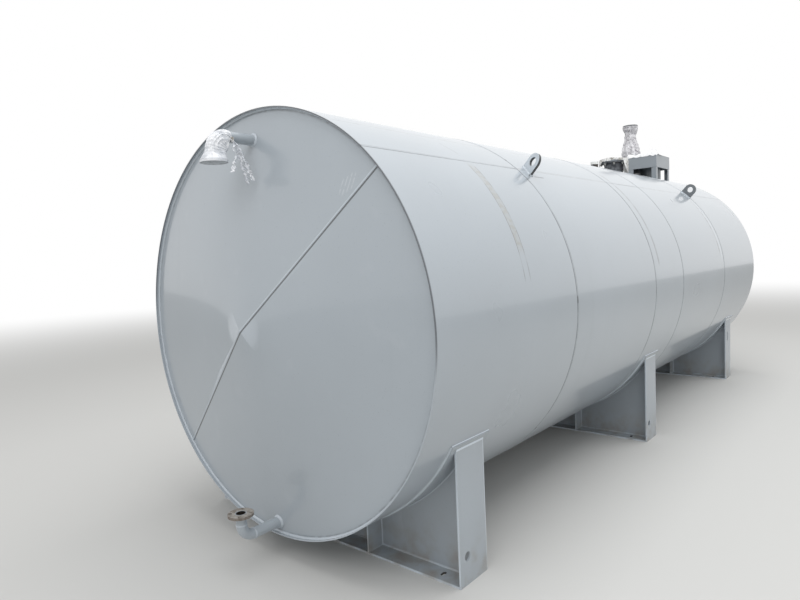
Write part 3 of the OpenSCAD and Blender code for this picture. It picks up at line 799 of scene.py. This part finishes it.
def lug_welds(name, sign, turned):
    foot, _, across, through = lug_frame(name, sign, turned)
    runs = []
    for face in (-1, 1):
        shift = through * (face * LUG_T / 2)
        line = [on_skin(foot + across * w + shift) for w in np.linspace(-LUG_HALF_W, LUG_HALF_W, 30)]
        runs.append((line, through * face, outward, 0.008))
    for end in (-1, 1):
        shift = across * (end * LUG_HALF_W)
        line = [on_skin(foot + shift + through * (side * LUG_T / 2)) for side in (-1, 1)]
        runs.append((line, across * end, outward, 0.008))
    weld_runs(f"{name}_welds", runs)


for side_name, sign in (("front", 1), ("back", -1)):
    lug_plate(f"lug_1_{side_name}", sign, LUG_TURN)
    lug_welds(f"lug_1_{side_name}", sign, LUG_TURN)
    lug_welds(f"lug_2_{side_name}", sign, 0)
print("lugs turned and welded")

# %% [markdown]
# ## Sheet behind the frame
# One thin sheet closes the frame's hidden side. It hangs between the two back legs, from the band down to the
# shell, and ends in a short foot that lies on the plate. It takes the darker shade grey, so it puts painted
# shade behind the frame's openings.

# %% Sheet behind the frame
def frame_back():
    """The sheet is one profile, run from leg to leg, with an end a little smaller at each."""
    lo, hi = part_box("frame_legs")
    band_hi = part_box("frame_cover")[1]
    y, t = band_hi.y - 0.008, 0.004
    foot = AXIS_Z + sqrt((SHELL_R + 0.001) ** 2 - (y - 0.03) ** 2)
    top = band_hi.z - 0.150
    profile = [
        (y, top), (y, foot + 0.006), (y - 0.002, foot + t), (y - 0.030, foot + t + 0.003),
        (y - 0.030, foot + 0.003), (y - 0.002, foot), (y + t - 0.001, foot + 0.002),
        (y + t, foot + 0.006), (y + t, top),
    ]
    centre = np.mean(profile, axis=0)
    rows = [
        [Vector((x, *(centre + (np.array(spot) - centre) * share))) for spot in profile]
        for x, share in ((lo.x + 0.008, 0.98), (lo.x + 0.008, 1), (hi.x - 0.008, 1), (hi.x - 0.008, 0.98))
    ]
    piece_from_rows("frame_back_shade_sheet", rows, SHADE_GREY_PAINT, wrap=True, closed=True, smooth=False)


frame_back()
print("sheet behind the frame made")

# %% [markdown]
# ## Welds on the pipes
# The crown's pipes stand upright on a round shell, so the corner that their weld follows
# dips at both sides. Its height at each point comes from the shell's own circle.

# %% Crown pipe welds
def crown_weld(node):
    lo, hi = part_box(node)
    middle = (lo + hi) / 2
    radius = (hi.x - lo.x) / 2
    ring = []
    for a in np.radians(np.linspace(0, 360, 120)):
        y = middle.y + radius * sin(a)
        ring.append(Vector((middle.x + radius * cos(a), y, AXIS_Z + sqrt(SHELL_R ** 2 - y * y))))
    away = lambda s: Vector((s[0] - middle.x, s[1] - middle.y, 0)).normalized()
    fillet(f"{node}_weld", ring, away, Z, 0.008)


for pipe_name in ("fill_neck", "vent_pipe", "gauge_socket"):
    crown_weld(pipe_name)
print("crown welds made")

# %% [markdown]
# Each end nozzle has a ring of weld round its root, in the lighter weld enamel, so it shows as a bright
# collar on the cone. Its bend has a thin butt weld at both ends.

# %% Nozzle welds
PIPE_R = 0.06030 / 2
BEND_R = 0.076


def nozzle_welds(name, drop):
    """drop is -1 where the nozzle turns down and 1 where it turns up."""
    lo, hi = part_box(f"{name}_pipe")
    z = hi.z - PIPE_R if drop < 0 else lo.z + PIPE_R
    flange_lo, flange_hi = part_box(f"{name}_flange")
    flange_x = (flange_lo.x + flange_hi.x) / 2
    root_x = NEAR + HEAD_RECESS - HEAD_RISE * (1 - abs(z - AXIS_Z) / SHELL_R)
    tilt = copysign(SLOPE, z - AXIS_Z)
    root = []
    for a in np.radians(np.linspace(0, 360, 90)):
        spot = Vector((0, PIPE_R * cos(a), z + PIPE_R * sin(a)))
        spot.x = root_x + tan(tilt) * (spot.z - z)
        root.append(spot)
    runs = [(root, lambda s: Vector((0, s[1], s[2] - z)).normalized(), -X, 0.010)]
    for at, u, v, along in (
        (Vector((flange_x + BEND_R, 0, z)), Y, Z, X),
        (Vector((flange_x, 0, z + drop * BEND_R)), X, Y, Z),
    ):
        away = lambda s, c=at: (Vector(s) - c).normalized() * 0.45
        for way in (-1, 1):
            runs.append((circle(at, PIPE_R, u, v, 60), along * way, away, 0.005))
    weld_runs(f"{name}_welds", runs)


nozzle_welds("upper_nozzle", -1)
nozzle_welds("lower_nozzle", 1)
print("nozzle welds made")

# %% [markdown]
# ## Bolts on the filling cover
# Eight bolts hold the cover: a hexagon head on a washer above it, and a nut with the
# bolt's end below the flange. They are all one mesh, since they are all one finish.

# %% Cover bolts
BOLT_RING = 0.140
WASHER_R, WASHER_T = 0.015, 0.003
HEXAGON_R = 0.0138


def prism(bm, centre, radius, low, high, sides, turn=0.0):
    """Adds an upright prism to a mesh that is being built."""
    rings = [[
        bm.verts.new((centre[0] + radius * cos(turn + 2 * pi * k / sides),
                      centre[1] + radius * sin(turn + 2 * pi * k / sides), z))
        for k in range(sides)
    ] for z in (low, high)]
    for k in range(sides):
        m = (k + 1) % sides
        bm.faces.new((rings[0][k], rings[0][m], rings[1][m], rings[1][k]))
    bm.faces.new(rings[1])
    bm.faces.new(rings[0][::-1])


def cover_bolts():
    middle = middle_of("fill_cover")
    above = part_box("fill_cover")[1].z
    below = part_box("fill_flange")[0].z
    bm = bmesh.new()
    for i in range(8):
        a = radians(22.5 + 45 * i)
        spot = (middle.x + BOLT_RING * cos(a), middle.y + BOLT_RING * sin(a))
        prism(bm, spot, WASHER_R, above, above + WASHER_T, 24)
        prism(bm, spot, HEXAGON_R, above + WASHER_T, above + 0.013, 6, i * 0.7)
        prism(bm, spot, WASHER_R, below - WASHER_T, below, 24)
        prism(bm, spot, HEXAGON_R, below - 0.016, below - WASHER_T, 6, i * 1.3)
        prism(bm, spot, 0.0078, below - 0.026, below - 0.016, 16)
    mesh = bpy.data.meshes.new("cover_bolts")
    bm.to_mesh(mesh)
    bm.free()
    dress("cover_bolts", mesh, [ZINC], smooth=False)


cover_bolts()
print("cover bolted")

# %% [markdown]
# ## The bag on the upper nozzle
# A plastic bag was pulled over the flange, pushed along the bend and tied round the pipe.
# It follows the pipe's middle line, so its mesh is a row of rings along that line. Each ring
# is pressed into folds that keep their place round the pipe, so they all run to the tie.
# Inside the bend the film doesn't follow the pipe: it spans from the tie to the flange.

# %% Bag with folds
TIE_OUT = 0.160  # from the rim to the tie
TIE_R = 0.0322  # the film's least radius, just over the pipe
KNOT_TURN = radians(215)
BAG_SHAPE = [
    (0.000, 0.0325), (0.010, 0.0390), (0.030, 0.0480), (0.070, 0.0540), (0.120, 0.0530), (0.170, 0.0500),
    (0.205, 0.0540), (0.235, 0.0630), (0.252, 0.0708), (0.2665, 0.0712),
]
BAG_TIGHT = BAG_SHAPE[0][1]
BAG_LONG = BAG_SHAPE[-1][0]


def turns(count):
    """Equal steps round a full circle."""
    return [2 * pi * k / count for k in range(count)]


def apart(a, b):
    """The angle between two directions, at most half a turn."""
    return abs((a - b + pi) % (2 * pi) - pi)


def pipe_line(tie, corner_x, low_z):
    """Points and directions along the pipe's middle, from the tie round the bend and down."""
    flat = tie.x - corner_x - BEND_R
    arc = BEND_R * pi / 2
    total = flat + arc + (tie.z - BEND_R - low_z)
    made = []
    for s in np.linspace(0, total, 150):
        if s < flat:
            spot, ahead = Vector((tie.x - s, 0, tie.z)), -X
        elif s < flat + arc:
            a = (s - flat) / BEND_R
            spot = Vector((corner_x + BEND_R * (1 - sin(a)), 0, tie.z - BEND_R * (1 - cos(a))))
            ahead = Vector((-cos(a), 0, -sin(a)))
        else:
            spot, ahead = Vector((corner_x, 0, tie.z - BEND_R - (s - flat - arc))), -Z
        made.append((s, spot, ahead))
    return made, total


def upper_bag():
    flange_lo, flange_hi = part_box("upper_nozzle_flange")
    corner_x, low_z = (flange_lo.x + flange_hi.x) / 2, flange_lo.z
    tie = Vector((NEAR - TIE_OUT, 0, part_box("upper_nozzle_pipe")[1].z - PIPE_R))
    line, total = pipe_line(tie, corner_x, low_z)
    span_start = tie - Z * 0.034
    span = Vector((corner_x + 0.066, 0, low_z + 0.020)) - span_start
    away = Vector((-span.z, 0, span.x)).normalized()
    rows = []
    for s, spot, ahead in line:
        up_side = Y.cross(ahead)
        radius = float(np.interp(s / total * BAG_LONG, *zip(*BAG_SHAPE)))
        free = sin(pi * min(1.0, s / total * 1.06)) ** 0.6 if s < total * 0.943 else 0.0
        deep = 0.0058 - 0.0026 * min(1.0, s / total)
        loosened = min(1.0, s / 0.10)
        row = []
        for turn in turns(300):
            out = Y * cos(turn) + up_side * sin(turn)
            wander = 3.2 * noise(spot * 11 + out * 0.9)
            gather = apart(turn, KNOT_TURN) * 6.5 / (0.50 + 0.50 * loosened)
            pleat = abs(sin(gather + wander)) ** 0.55
            small = abs(sin(gather * 2.3 + 1.7 * wander + 1)) ** 0.6
            level = abs(sin(s * 210 + 2.5 * noise(spot * 14 + out)))
            folds = 1.3 - 1.4 * pleat - 0.5 * small - 0.6 * level * loosened
            soft = noise((spot + out * radius) * 15)
            crease = 0.5 - abs(noise((spot + out * radius) * 33))
            sag = 0.010 * max(0.0, -out.z) * sin(pi * s / total)
            outer = (1 + sin(turn)) / 2
            hug = 0.80 * outer * max(0.0, min(1.0, (total * 0.86 - s) / (total * 0.30)))
            full = BAG_TIGHT + (radius - BAG_TIGHT) * (1 - hug)
            r = full + free * (1 - 0.5 * hug) * (deep * folds + 0.0055 * soft + 0.0030 * crease + sag)
            point = spot + out * max(r, TIE_R)
            inner = max(0.0, out.dot(away)) ** 1.3 * sin(pi * min(1.0, s / total * 1.05)) ** 0.35
            short = max(0.0, (span_start - point).dot(away)) if s < total * 0.95 else 0.0
            loose = 1 + 0.10 * noise(point * 26) - 0.10 * abs(noise(point * 60))
            row.append(point + away * short * min(1.0, inner * 0.92) * loose)
        rows.append(row)
    made = piece_from_rows("upper_bag", rows, FILM, wrap=True)
    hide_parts("upper_nozzle_wrap")
    middle = Vector((corner_x, 0, low_z - 0.0014))
    ring = [Vector((v[0], v[1], middle.z)) - middle for v in rows[-1]]
    bottom = [
        [middle + v * shrink + Z * 0.0008 * noise(v * 30 * shrink) for v in ring]
        for shrink in (0.999, 0.8, 0.6, 0.4, 0.2, 0.01)
    ]
    return made, piece_from_rows("bag_mouth", bottom, SHADED_MOUTH_FILM, wrap=True), tie


bag, bag_mouth, tie_spot = upper_bag()
print("bag pulled on and tied")

# %% [markdown]
# The bag's ends were twisted, knotted and left hanging. A twisted end is a narrow strip
# that turns about its own middle line as it falls, wider where it frays out at the tip.

# %% Tails and knot
KNOT = tie_spot + Vector((0.002, -0.031, -0.019))
TAILS = {  # width, twists, and the way down from the knot
    "bag_tail_long": (0.018, 1.2, [
        (0, 0, 0), (0.012, -0.016, -0.018), (0.024, -0.028, -0.060),
        (0.044, -0.040, -0.115), (0.060, -0.050, -0.165), (0.074, -0.058, -0.212),
    ]),
    "bag_tail_mid": (0.015, 1.7, [
        (0, 0, 0), (0.012, -0.012, -0.022), (0.018, -0.024, -0.080),
        (0.034, -0.040, -0.150), (0.050, -0.048, -0.228),
    ]),
    "bag_tail_short": (0.012, 0.8, [
        (0, 0, 0), (-0.006, -0.022, -0.035), (-0.010, -0.040, -0.090),
        (-0.030, -0.046, -0.140), (-0.044, -0.048, -0.176),
    ]),
}


def round_noise(a, level, scale, shift=0):
    """Noise that is back at its start after a full turn of a."""
    return noise(Vector((cos(a) + shift, sin(a), level)) * scale)


def tail(name, width, twists, points):
    """A hanging strip along points, twisted, with a frayed end."""
    path, at = resample([KNOT + Vector(p) for p in points], 0.0025)
    rows = []
    for spot, s in zip(map(Vector, path), at):
        t = s / at[-1]
        a = 2 * pi * twists * t + 3.5 * noise(spot * 26)
        u = Vector((cos(a), sin(a), 0))
        v = Vector((-sin(a), cos(a), 0.3)).normalized()
        pinch = 0.55 + 0.9 * abs(noise(spot * 42 + Vector((3, 0, 0))))
        w = width * (0.65 + 0.5 * t * t) * pinch
        here = spot + u * 0.012 * noise(spot * 30)
        rows.append([
            here + u * w * k + v * (0.004 * sin(5 * k + 9 * t) + 0.006 * noise(Vector((k * 2.5, t * 30, 1))))
            for k in np.linspace(-1, 1, 17)
        ])
    return piece_from_rows(name, rows, FILM)


def knot_piece():
    """A bunch of folded film, pulled tight: a torus whose radius wanders."""
    rows = []
    for a in np.linspace(0, 2 * pi, 60, endpoint=False):
        row = []
        for b in np.linspace(0, 2 * pi, 28, endpoint=False):
            flat = Vector((0.35 * cos(a), 0.55 * cos(a) - 0.2, sin(a)))
            tube = 0.0072 * (1 + 0.30 * sin(6 * b + 3 * a) + 0.25 * round_noise(a, b, 2))
            out = flat.normalized() * cos(b) + Vector((0.5, -0.8, 0)).normalized() * sin(b)
            row.append(KNOT + flat * 0.0085 + out * tube)
        rows.append(row)
    return piece_from_rows("bag_knot", rows, AGED_FILM, wrap=True, closed=True)


tails = [tail(name, *how) for name, how in TAILS.items()]
bag_knot = knot_piece()
print("knot tied,", len(tails), "tails hung")

# %% [markdown]
# ## Film on the crown
# The cover, the vent and the frame's top wear the same thin film. It is loose, so it lies
# in small sharp crumples. Over the cover it drops past the edge and ends in rags.

# %% Film over the filling cover
COVER_REACH = 0.1665  # from the middle to the cover's edge
COVER_FALLS = [(radians(-62), 0.19, 1.0), (radians(112), 0.075, 0.8)]  # direction, depth, width


def crumple(spot, size):
    """Small sharp folds: the absolute value of noise gives creases and not bumps."""
    return size * (0.6 - abs(noise(spot * 11)) * 1.5 - abs(noise(spot * 29)) * 0.7)


def cover_film():
    middle = middle_of("fill_cover")
    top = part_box("fill_cover")[1].z

    def point(s, a):
        """The film's point in direction a, at the share s of the way from its middle to its rag."""
        reach = COVER_REACH + 0.004 * round_noise(a, 0, 2.3)
        drop = 0.036 + 0.012 * round_noise(a, 1, 2.1, shift=5)
        drop += 0.010 * round_noise(a, 4, 9)
        for side, deep, wide in COVER_FALLS:
            off = apart(a, side)
            drop = max(drop, deep * (1 - (off / wide) ** 4)) if off < wide else drop
        walk = s * (reach + max(0.012, drop))
        r = min(walk, reach)
        fall = max(0.0, walk - reach)
        flare = 1 + min(0.5 * fall, 0.02) * (1 + sin(a * 13 + 3 * round_noise(a, 2, 2)))
        spot = Vector((middle.x + r * flare * cos(a), middle.y + r * flare * sin(a), 0))
        lift = 0.017 + crumple(spot, 0.008) + 0.014 * noise(spot * 6)
        edge = max(0.0, 1 - abs(walk - reach) / 0.02)
        spot.z = top + max(lift, 0.0145) - fall * 0.97 - 0.004 * edge
        skin = AXIS_Z + sqrt(max(0.0, (SHELL_R + 0.003) ** 2 - spot.y ** 2))
        spot.z = max(spot.z, skin)
        return spot

    rows = [[point(s, a) for a in turns(200)] for s in np.linspace(0, 1, 46)]
    sheet = piece_from_rows("cover_film", rows, AGED_FILM, wrap=True)
    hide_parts("fill_wrap")
    return sheet


cover_sheet = cover_film()
print("cover film laid")

# %% [markdown]
# Round the vent the film is a sleeve. It starts under the flange, is narrow where it was
# pulled tight below it, and is full above the frame. The table gives its radius by height.

# %% Sleeve round the vent
SLEEVE = [
    (3.2845, 0.0985), (3.270, 0.0965), (3.245, 0.0870), (3.210, 0.0740), (3.175, 0.0670), (3.140, 0.0670),
    (3.090, 0.0750), (3.040, 0.0890), (2.990, 0.1030), (2.940, 0.1110), (2.900, 0.1110), (2.870, 0.1040),
    (2.850, 0.1020),
]


def vent_sleeve():
    middle = middle_of("vent_pipe")

    def point(z, radius, a):
        spot = Vector((cos(a), sin(a), 0)) * radius + Vector((middle.x, middle.y, z))
        calm = min(1.0, (SLEEVE[0][0] - z) / 0.04)
        folds = 0.0045 * sin(a * 9 + (z - 3.0) * 14 + 3 * noise(spot * 7)) * calm
        bulk = (crumple(spot, 0.010) + 0.010 * noise(spot * 13)) * calm
        r = max(0.0485, radius + folds + bulk)
        return Vector((middle.x + r * cos(a), middle.y + r * sin(a), z))

    heights = np.linspace(SLEEVE[0][0], SLEEVE[-1][0], 120)
    radii = np.interp(-heights, [-z for z, r in SLEEVE], [r for z, r in SLEEVE])
    rows = [[point(z, radius, a) for a in turns(180)] for z, radius in zip(heights, radii)]
    sheet = piece_from_rows("vent_sleeve", rows, SLEEVE_FILM, wrap=True)
    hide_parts("vent_wrap")
    return sheet


sleeve = vent_sleeve()
print("sleeve pulled over the vent")

# %% [markdown]
# The rest of the vent's film was pushed along the frame's near edge. It is a height over
# the plate, with one big puff at the front corner, and it hangs over the plate's edges.

# %% Film on the frame's top
TOP_W = 0.24
ROUNDING = 0.022  # how far in from the plate's edges the film comes to its full height


def top_film():
    lo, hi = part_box("frame_cover")

    def point(y, s):
        x = lo.x - 0.006 + TOP_W * s
        puff = 0.056 * exp(-(((y - lo.y - 0.050) / 0.052) ** 2 + ((x - lo.x - 0.05) / 0.07) ** 2))
        ridge = 0.020 * exp(-(((x - lo.x - 0.035) / 0.05) ** 2)) * (1.0 + 0.8 * noise(Vector((0, y * 11, 2))))
        front = min(1.0, max(0.0, x - lo.x) / ROUNDING) ** 0.6
        flank = min(1.0, max(0.0, y - lo.y) / ROUNDING) ** 0.6
        folds = max(0.0, crumple(Vector((x, y, 0)), 0.007) + 0.004)
        z = hi.z + 0.003 + (puff + ridge) * front * flank + folds
        over_front = max(0.0, 0.030 - s) / 0.030
        z -= over_front * (0.022 + 0.012 * noise(Vector((0, y * 25, 7))))
        beyond = max(0.0, y - hi.y - 0.004)
        z -= min(0.085, beyond * 1.15 * (1 + 0.6 * noise(Vector((x * 12, 0, 3)))))
        z -= max(0.0, lo.y - 0.004 - y) * 1.5
        if lo.x < x < hi.x and lo.y < y < hi.y:
            z = max(z, hi.z + 0.0015)
        return Vector((x, y, z))

    ys = np.linspace(lo.y - 0.011, hi.y + 0.095, 170)
    rows = [[point(y, s) for s in np.linspace(0, 1, 90)] for y in ys]
    return piece_from_rows("top_film", rows, WHITE_FILM)


top_sheet = top_film()
print("film laid on the frame")

# %% [markdown]
# Its length comes from its own area, with some lost in folds too fine for the mesh.


# %% [markdown]
# ## Floor, light and background
# The floor is pale and matt. Far away it turns into plain white, so that it has no horizon.

# %% Floor
HALF = 60.0
corners = [(HALF * x, HALF * y, 0) for x, y in ((-1, -1), (1, -1), (1, 1), (-1, 1))]
floor_mesh = bpy.data.meshes.new("floor")
floor_mesh.from_pydata(corners, [], [(0, 1, 2, 3)])
floor = add_object("floor", floor_mesh)

ground = Paint("pale_floor")
far_off = ground.step(ground.vector("LENGTH", ground.place), 7.0, 22.0)
matt = ground.node("BsdfDiffuse", {}, {"Color": rgb(202, 202, 200)})
white = ground.node("Emission", {}, {"Color": (1, 1, 1, 1), "Strength": 1.0})
seen = ground.node("LightPath", out="Is Camera Ray")
mixed = ground.node("MixShader", {}, [far_off * seen, matt, white])
ground.node("OutputMaterial", {}, {"Surface": mixed})
floor_mesh.materials.append(ground.material)
print("floor laid")

# %% [markdown]
# Soft light from above and from the open side shows the enamel's curve: the crown is
# brightest and the belly falls into shade. The background is white only to the camera and in
# reflections, so the walls add no extra light to the object. An overcast sky has no lamps
# in it, so neither lamp shows as a patch in the gloss.

# %% World and lamps
SKY_LIGHT = 0.74
world = bpy.data.worlds.new("studio")
bpy.context.scene.world = world
world.use_nodes = True
world.node_tree.nodes.clear()


class Sky(Paint):
    """The same tools on the world's nodes."""

    def __init__(self, tree):
        self.tree = tree


sky = Sky(world.node_tree)
rays = [sky.node("LightPath", out=f"Is {kind} Ray") for kind in ("Camera", "Glossy", "Transmission")]
plain = sky.maths("MINIMUM", rays[0] + rays[1] + rays[2], 1.0)
strength = SKY_LIGHT + plain * (1 - SKY_LIGHT)
back = sky.node("Background", {}, {"Color": (1, 1, 1, 1), "Strength": strength})
sky.node("OutputWorld", {}, {"Surface": back})


def soft_lamp(name, place, target, size, power):
    lamp = bpy.data.lights.new(name, "AREA")
    lamp.shape = "RECTANGLE"
    lamp.size, lamp.size_y = size
    lamp.energy = power
    holder = add_object(name, lamp)
    holder.location = place
    holder.rotation_euler = (Vector(target) - Vector(place)).to_track_quat("-Z", "Y").to_euler()
    holder.visible_glossy = False


soft_lamp("overhead", (0.0, -2.0, 8.0), (0, 0, 1.5), (12, 7), 490)
soft_lamp("end", (-9.0, -2.5, 6.5), (-3, 0, 1.4), (5, 4), 140)
print("lamps hung")
